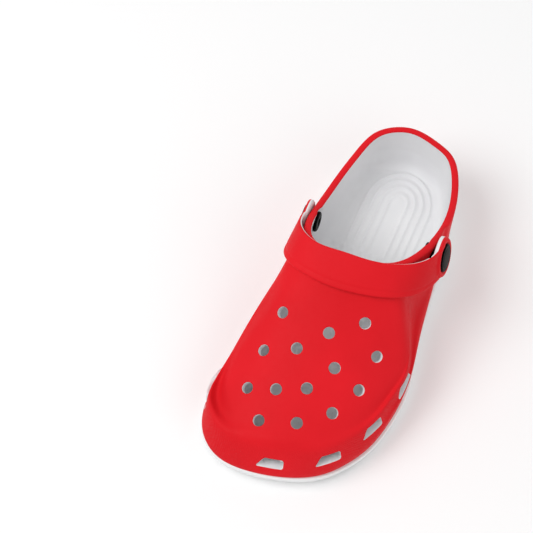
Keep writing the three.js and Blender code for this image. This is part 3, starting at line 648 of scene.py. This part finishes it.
def make_sole():
    outer_side, inner_side = sole_sides()
    ring = sole_ring(outer_side, inner_side)
    walk = np.linalg.norm(np.diff(ring, axis=0, append=ring[:1]), axis=1)
    arc = np.concatenate([[0], np.cumsum(walk)[:-1]])
    low, high = ground_height(ring[:, 1]), bond_height(ring[:, 1])
    ribs = 0.5 + 0.5 * np.cos(arc * 2 * np.pi / RIB_PITCH)
    reach = 0.15 + 0.85 * ramp(ring[:, 1], -40, 20)
    shape = Shape()
    rows = []

    def level(inset, height, rib=0.0):
        moved = ring + unit(push_out(ring, 1) - ring) * (-inset - rib * reach * ribs)[:, None]
        moved[:, 2] = height
        rows.append(shape.add(moved))

    for inset, above, rib in ((3.4, 0, 0), (2.2, 0.3, 0), (1.3, 1.2, 0), (1.0, 2.2, 0.1)):
        level(inset, low + above, rib)
    foot, head = low + 2.9, high - 4.4
    for t in np.linspace(0, 1, 6):
        level(0.75 - 0.45 * t, foot + (head - foot) * t, 0.6 * min(1, 4 * t, 4 * (1 - t) + 0.3))
    for inset, below, rib in ((0.35, 3.9, 0.1), (0.75, 3.3, 0), (0.1, 2.8, 0), (-0.05, 2.0, 0),
                              (0.0, 1.0, 0), (0.35, 0.3, 0), (1.0, 0, 0), (2.4, 0, 0)):
        level(inset, high - below, rib)
    shape.strips(rows)

    def tread(px, py):
        """The ground under the sole, with zigzag grooves across it."""
        phase = (py - TREAD_FIRST + TREAD_PITCH / 2) % TREAD_PITCH - TREAD_PITCH / 2
        wave = 1.6 * np.abs(((px / 15.0) % 1.0) - 0.5) * 2 - 0.8
        cut = 1 - smooth((np.abs(phase + wave) - TREAD_WIDTH / 2 + 0.3) / 0.7)
        right_edge = np.interp(-py, -outer_side[:, 1], outer_side[:, 0])
        left_edge = np.interp(py, inner_side[:, 1], inner_side[:, 0])
        room = np.minimum(right_edge - px, px - left_edge)
        cut = cut * smooth((room - TREAD_MARGIN) / 1.2) * ((py > TREAD_FIRST - 5) & (py < TREAD_LAST))
        return ground_height(py) + TREAD_DEPTH * cut

    shape.ladder(rows[0], tread, 64)
    shape.ladder(rows[-1], lambda px, py: bond_height(py), 4)
    return shape.mesh("sole_ribbed")


# ---------------------------------------------------------------- strap
def strap_frames(count):
    """Lower edge, upper edge and inward direction at points along the strap."""
    at = np.linspace(0, len(STRAP_LINE) - 1, count)
    lines = np.einsum("mi,ijk->mjk", basis(range(len(STRAP_LINE)), at), STRAP_LINE)
    low, high = lines[:, 0], lines[:, 1]
    along = np.gradient((low + high) / 2, axis=0)
    inward = unit(np.cross(along, high - low))
    return low, high, inward


def strap_thickness(share):
    """The strap is a little thinner beside its ends, where it bends."""
    return STRAP_THICKNESS - np.exp(-((np.minimum(share, 1 - share) - BEND_AT) / BEND_SPREAD) ** 2)


def add_band(shape):
    """The strap's band, swept along its line, with rounded edges and a crease near the lower one."""
    low, high, inward = strap_frames(210)
    thick = strap_thickness(np.linspace(0, 1, len(low)))
    r = STRAP_EDGE
    width = np.linalg.norm(high - low, axis=1)
    across = unit(high - low)
    quarter = np.radians([0, 18, 36, 54, 72, 90])
    flat = np.linspace(0, 1, 30)
    rings = []
    for i in range(len(low)):
        w, t = width[i], thick[i]
        face = r + (w - 2 * r) * flat
        crease = 0.4 * np.exp(-((face - 4.2) / 0.7) ** 2)
        crown = -0.25 * np.sin(np.pi * flat)
        outline = [*zip(face, crown + crease)]
        outline += [(w - r + r * math.sin(q), r - r * math.cos(q)) for q in quarter[1:]]
        outline += [(w - r + r * math.cos(q), t - r + r * math.sin(q)) for q in quarter]
        outline += [(c, t) for c in face[::-1][1:-1]]
        outline += [(r - r * math.sin(q), t - r + r * math.cos(q)) for q in quarter]
        outline += [(r - r * math.cos(q), r - r * math.sin(q)) for q in quarter[:-1]]
        c, d = np.array(outline).T
        rings.append(shape.add(low[i] + c[:, None] * across[i] + d[:, None] * inward[i]))
    shape.strips(rings)
    for ring in (rings[0], rings[-1]):
        shape.fan(ring, shape.points[ring].mean(0))


def boss_start(side):
    """Where a boss begins along the axle, for sides or distances above 0 outside and below 0 inside."""
    return np.where(side > 0, OUTSIDE_SEAT[1], OUTSIDE_SEAT[-1]) + GAP


def make_strap():
    shape = Shape()
    add_band(shape)
    for side in (1, -1):
        add_boss(shape, side)
    fused = fuse(shape.mesh("heel_strap_moulded"), 0.5, 5)
    points = points_of(fused)
    along, radius = on_axle(points)
    reach, side = np.abs(along), np.sign(along)
    at_end = (radius < BOSS_RADIUS + BAND_TRIM) & (reach > 40)
    wanted = np.where(at_end, np.maximum(reach, boss_start(side)), reach)
    points = points + ((wanted - reach) * side)[:, None] * AXLE
    for hand in (1, -1):
        centre, look = face_of(hand)
        above = np.maximum((points - centre) @ look, 0) * (side == hand)
        above *= 1 - smooth((radius - BOSS_RADIUS - 1) / 4)
        points = points - above[:, None] * look
    depth = strap_depth(points)
    fused.vertices.foreach_set("co", ((points + TO_ORIGIN) * METRES).ravel())
    layer = fused.attributes.new("depth", "FLOAT", "POINT")
    layer.data.foreach_set("value", depth.astype(np.float32))
    return fused


def strap_depth(points):
    """Share of the strap's thickness below its outer face, 0 outside and 1 against the foot."""
    count, across = 400, 40
    low, high, inward = strap_frames(count)
    base = np.vstack([low + (high - low) * share for share in np.linspace(0, 1, across)])
    sense = np.tile(inward, (across, 1))
    thick = np.tile(strap_thickness(np.linspace(0, 1, count)), across)
    tree = KDTree(count * across)
    for i, p in enumerate(base + sense * thick[:, None] / 2):
        tree.insert(Vector(p), i)
    tree.balance()
    nearest = np.array([tree.find(Vector(p))[1] for p in points])
    depth = np.einsum("ij,ij->i", points - base[nearest], sense[nearest]) / thick[nearest]
    along, radius = on_axle(points)
    rise = (points - AXLE_MIDDLE) @ unit(np.array([0, 0, 1.0]) - AXLE[2] * AXLE)
    start = boss_start(along)
    boss = 1 - (np.abs(along) - start) / (FACE_AT - start - math.tan(BOSS_LEAN) * rise)
    w = 1 - smooth((radius - BOSS_RADIUS - 0.3) / 2)
    return depth * (1 - w) + boss * w


def fuse(mesh, voxel, rounds):
    """One skin round overlapping bodies, a little softened."""
    piece = bpy.data.objects.new(mesh.name, mesh)
    bpy.context.scene.collection.objects.link(piece)
    remesh = piece.modifiers.new("skin", "REMESH")
    remesh.mode = "VOXEL"
    remesh.voxel_size = voxel * METRES
    soften = piece.modifiers.new("soften", "SMOOTH")
    soften.factor = 0.5
    soften.iterations = rounds
    made = bpy.data.meshes.new_from_object(piece.evaluated_get(bpy.context.evaluated_depsgraph_get()))
    made.name = mesh.name + "_skin"
    bpy.data.objects.remove(piece)
    made.polygons.foreach_set("use_smooth", [True] * len(made.polygons))
    return made


def spokes(direction, segments):
    across = unit(np.cross(direction, [0, 0, 1.0]))
    up = np.cross(across, direction)
    angle = np.linspace(0, 2 * np.pi, segments, endpoint=False)[:, None]
    return np.cos(angle) * across + np.sin(angle) * up


def turned(shape, profile, start, direction, segments=96):
    """A body of revolution from (radius, distance from the start) pairs."""
    spoke = spokes(direction, segments)
    rings = [shape.add(start + distance * direction + spoke * radius)
             for radius, distance in profile[1:-1]]
    shape.strips(rings)
    for ring, (_, distance) in ((rings[0], profile[0]), (rings[-1], profile[-1])):
        shape.fan(ring, start + distance * direction)


def add_boss(shape, side):
    """A strap's round end: flat against the upper, with a leaning face and the cap's seat in it."""
    along = side * AXLE
    centre, look = face_of(side)
    spoke = spokes(along, 120)
    start = boss_start(side)
    rings = [shape.add(AXLE_MIDDLE + along * (start + depth) + spoke * radius)
             for radius, depth in ((12.5, 0), (14.0, 0.4), (14.5, 1.1))]
    for radius, depth in ((14.5, -1.9), (14.35, -1.0), (13.9, -0.4), (13.2, 0), (11.7, 0),
                          (11.1, -0.3), (10.95, -0.9), (10.95, -CAP_SUNK)):
        shift = (depth - radius * (spoke @ look)) / math.cos(BOSS_LEAN)
        rings.append(shape.add(centre + spoke * radius + shift[:, None] * along))
    shape.strips(rings)
    shape.fan(rings[0], AXLE_MIDDLE + along * start)
    shape.fan(rings[-1], shape.points[rings[-1]].mean(0))


def make_stud(name, side):
    """A pin and shank on the axle, under a cap sunk in the boss's leaning face."""
    disc = INSIDE_SEAT[side] - GAP
    end = FACE_AT - 0.4
    shape = Shape()
    turned(shape, [
        (0, disc - 1), (PIN_RADIUS - 0.6, disc - 1), (PIN_RADIUS - 0.1, disc - 0.8),
        (PIN_RADIUS, disc - 0.2), (PIN_RADIUS, disc + 5.6), (SHANK_RADIUS - 0.2, disc + 5.6),
        (SHANK_RADIUS, disc + 5.9), (SHANK_RADIUS, end), (0, end)], AXLE_MIDDLE, side * AXLE)
    low = GAP - CAP_SUNK
    top = low + CAP_HEIGHT
    turned(shape, [
        (0, low), (CAP_RADIUS - 0.2, low), (CAP_RADIUS, low + 0.2), (CAP_RADIUS, low + 1.3),
        (CAP_RADIUS - 0.15, low + 1.7), (CAP_RADIUS - 0.5, low + 2.05), (CAP_RADIUS - 1.0, top - 0.05),
        (CAP_RADIUS - 1.6, top), (CAP_RADIUS - 2.0, top - 0.1), (CAP_RADIUS - 2.4, top - 0.12),
        (CAP_RADIUS - 2.8, top), (5.5, top + 0.12), (3, top + 0.2), (1, top + 0.22), (0, top + 0.22),
    ], *face_of(side))
    return shape.mesh(name)


def make_socket(name, side):
    """A disc inside the shoe, with the sleeve that the pin snaps into."""
    seat_at = INSIDE_SEAT[side] - GAP
    back = seat_at - DISC_HEIGHT
    shape = Shape()
    turned(shape, [
        (0, back + 0.5), (2.6, back + 0.5), (2.9, back + 0.1), (3.2, back), (DISC_RADIUS - 1.6, back),
        (DISC_RADIUS - 0.7, back + 0.2), (DISC_RADIUS - 0.2, back + 0.7), (DISC_RADIUS, back + 1.3),
        (DISC_RADIUS, seat_at - 0.1), (DISC_RADIUS - 0.2, seat_at), (SHANK_RADIUS, seat_at),
        (SHANK_RADIUS, seat_at + 5), (SHANK_RADIUS - 0.2, seat_at + 5.2),
        (PIN_RADIUS + GAP, seat_at + 5.2), (PIN_RADIUS + GAP, seat_at - 1.4), (0, seat_at - 1.4),
    ], AXLE_MIDDLE, side * AXLE)
    return shape.mesh(name)


# ---------------------------------------------------------------- materials
class Nodes:
    """A short way to write a material's nodes."""

    def __init__(self, name):
        self.material = bpy.data.materials.new(name)
        self.material.use_nodes = True
        self.tree = self.material.node_tree
        self.shader = self.tree.nodes["Principled BSDF"]

    def new(self, kind, settings=None, **inputs):
        node = self.tree.nodes.new(kind)
        for key, value in (settings or {}).items():
            setattr(node, key, value)
        for key, value in inputs.items():
            self.feed(node.inputs[int(key[1:]) if key[1:].isdigit() else key.replace("_", " ")], value)
        return node

    def feed(self, socket, value):
        if isinstance(value, bpy.types.NodeSocket):
            self.tree.links.new(value, socket)
        else:
            socket.default_value = value

    def maths(self, operation, a, b=0.0):
        return self.new("ShaderNodeMath", {"operation": operation}, i0=a, i1=b).outputs[0]

    def noise(self, scale, detail=2.0, roughness=0.5):
        return self.new("ShaderNodeTexNoise", Vector=self.place, Scale=scale, Detail=detail,
                        Roughness=roughness).outputs["Fac"]

    @property
    def place(self):
        if not hasattr(self, "_place"):
            self._place = self.new("ShaderNodeTexCoord").outputs["Object"]
        return self._place

    def mix(self, share, a, b):
        node = self.new("ShaderNodeMix", {"data_type": "RGBA"})
        self.feed(node.inputs[0], share)
        self.feed(node.inputs[6], a)
        self.feed(node.inputs[7], b)
        return node.outputs[2]

    def spread(self, value, low, high, out_low, out_high):
        node = self.new("ShaderNodeMapRange", i0=value, i1=low, i2=high, i3=out_low, i4=out_high)
        return node.outputs[0]

    def bump(self, height, strength, distance):
        return self.new("ShaderNodeBump", Height=height, Strength=strength, Distance=distance).outputs[0]


def linear(r, g, b):
    """A colour given as 0 to 255 per channel, as the shader takes it."""
    channel = [c / 255 / 12.92 if c <= 10 else ((c / 255 + 0.055) / 1.055) ** 2.4 for c in (r, g, b)]
    return (*channel, 1.0)


RED_TONES = (223, 27, 37), (212, 23, 32)
LINING_TONES = (236, 236, 237), (228, 228, 230)
SOLE_TONES = (247, 247, 247), (238, 239, 240)


def foam(name, light, dark, rough=0.55, grain=0.25, knurl=False):
    """Matt moulded foam: a slight change of tone, fine pores, and on the bumper its knurling."""
    n = Nodes(name)
    tone = n.spread(n.noise(18, 3), 0.3, 0.7, 0, 1)
    n.feed(n.shader.inputs["Base Color"], n.mix(tone, linear(*dark), linear(*light)))
    fine = n.noise(1400, 2)
    pores = n.noise(420, 3, 0.6)
    height = n.maths("ADD", n.maths("MULTIPLY", fine, 0.5), n.maths("MULTIPLY", pores, 0.7))
    if knurl:
        height = n.maths("ADD", height, knurling(n))
    n.feed(n.shader.inputs["Normal"], n.bump(height, grain, 0.0004))
    n.feed(n.shader.inputs["Roughness"], n.spread(pores, 0.3, 0.7, rough - 0.05, rough + 0.07))
    n.shader.inputs["Specular IOR Level"].default_value = 0.3
    n.shader.inputs["IOR"].default_value = 1.25
    return n


def knurling(n):
    """Fine crossed ridges on the bumper: the skin attribute holds arc, height and strength."""
    layer = n.new("ShaderNodeAttribute", {"attribute_name": "skin"}).outputs["Vector"]
    arc, height, strength = n.new("ShaderNodeSeparateXYZ", i0=layer).outputs
    pitch = 2 * math.pi / KNURL_PITCH
    waves = []
    for lean in (1.0, -0.6):
        slanted = n.maths("ADD", arc, n.maths("MULTIPLY", height, lean))
        waves.append(n.maths("SINE", n.maths("MULTIPLY", slanted, pitch)))
    both = n.maths("ADD", n.maths("MULTIPLY", waves[0], 0.8), n.maths("MULTIPLY", waves[1], 0.35))
    return n.maths("MULTIPLY", both, n.maths("MULTIPLY", strength, 1.8))


def strap_foam():
    """Red outside and white inside; the depth attribute says how far through the strap it is."""
    n = foam("strap_foam_two_tone", *RED_TONES)
    depth = n.new("ShaderNodeAttribute", {"attribute_name": "depth"}).outputs["Fac"]
    red = n.shader.inputs["Base Color"].links[0].from_socket
    white = n.spread(depth, 0.44, 0.50, 0, 1)
    n.feed(n.shader.inputs["Base Color"], n.mix(white, red, linear(232, 232, 233)))
    return n.material


def gloss_black():
    """Polished black plastic with a faint unevenness."""
    n = Nodes("rivet_black")
    tone = n.noise(60, 3)
    n.feed(n.shader.inputs["Base Color"], n.mix(tone, linear(2, 2, 2), linear(7, 7, 7)))
    n.feed(n.shader.inputs["Roughness"], n.spread(n.noise(220, 3), 0.3, 0.7, 0.3, 0.4))
    n.shader.inputs["IOR"].default_value = 1.2
    n.shader.inputs["Specular IOR Level"].default_value = 0.12
    n.feed(n.shader.inputs["Normal"], n.bump(n.noise(900, 2), 0.05, 0.0002))
    return n.material


def mark_bumper(mesh):
    """Writes the skin attribute, from which the knurling on the toe's bumper is drawn."""
    x, y, z = points_of(mesh).T
    arc = np.arctan2(x, -y - 60) * 72      # round a point in the toe box, in mm at the bumper
    strength = smooth((bumper_top(y) + 1.5 - z) / 5) * ramp(-y, 2, 27)
    layer = mesh.attributes.new("skin", "FLOAT_VECTOR", "POINT")
    layer.data.foreach_set("vector", np.stack([arc, z, strength], 1).astype(np.float32).ravel())


# ---------------------------------------------------------------- build
red_foam = foam("upper_foam_red", *RED_TONES, knurl=True).material
white_foam = foam("upper_foam_white", *LINING_TONES, rough=0.6).material
sole_foam = foam("sole_foam_white", *SOLE_TONES, rough=0.6, grain=0.35).material

upper = make_upper()
mark_bumper(upper)
place(upper, [red_foam, white_foam], "shoe", ["clog_upper"])
place(make_sole(), [sole_foam], "shoe", ["sole_unit"])
place(make_strap(), [strap_foam()], "strap", ["heel_strap"])
black = gloss_black()
for name, side in (("outer", 1), ("inner", -1)):
    stud = make_stud(f"rivet_cap_{name}", side)
    place(stud, [black], "strap", [f"rivet_stud_{name}"])
    socket = make_socket(f"rivet_disc_{name}", side)
    place(socket, [black], "strap", [f"rivet_socket_{name}"])

# ---------------------------------------------------------------- stage, light and camera
floor_mesh = bpy.data.meshes.new("floor")
floor_mesh.from_pydata([(-6, -6, 0), (6, -6, 0), (6, 6, 0), (-6, 6, 0)], [], [(0, 1, 2, 3)])
floor = bpy.data.objects.new("floor", floor_mesh)
bpy.context.scene.collection.objects.link(floor)
pale = Nodes("pale_floor")
pale.shader.inputs["Base Color"].default_value = (0.95, 0.95, 0.95, 1)
pale.shader.inputs["Roughness"].default_value = 0.9
floor_mesh.materials.append(pale.material)


def area_light(name, place_at, aim, size, power):
    data = bpy.data.lights.new(name, "AREA")
    data.size = size
    data.energy = power
    lamp = bpy.data.objects.new(name, data)
    lamp.location = place_at
    lamp.rotation_euler = (Vector(aim) - Vector(place_at)).to_track_quat("-Z", "Y").to_euler()
    bpy.context.scene.collection.objects.link(lamp)


area_light("key", (-0.75, -0.55, 1.3), (0, 0, 0.05), 0.9, 12)
area_light("fill", (1.1, -0.5, 1.0), (0, 0, 0.05), 1.2, 3.4)
area_light("back", (0.1, 1.2, 1.1), (0, 0, 0.05), 1.2, 3)

world = bpy.data.worlds.new("studio")
world.use_nodes = True
world.node_tree.nodes["Background"].inputs[0].default_value = (1, 1, 1, 1)
world.node_tree.nodes["Background"].inputs[1].default_value = 0.57
bpy.context.scene.world = world

bpy.context.scene.view_settings.view_transform = "Standard"

lens = bpy.data.cameras.new("camera")
lens.lens = 96
lens.sensor_width = 36
camera = bpy.data.objects.new("camera", lens)
camera.location = (0.1344, -0.4503, 0.9607)
aim = Vector((-0.0732, 0.0225, 0.0))
camera.rotation_euler = (aim - camera.location).to_track_quat("-Z", "Y").to_euler()
bpy.context.scene.collection.objects.link(camera)
bpy.context.scene.camera = camera
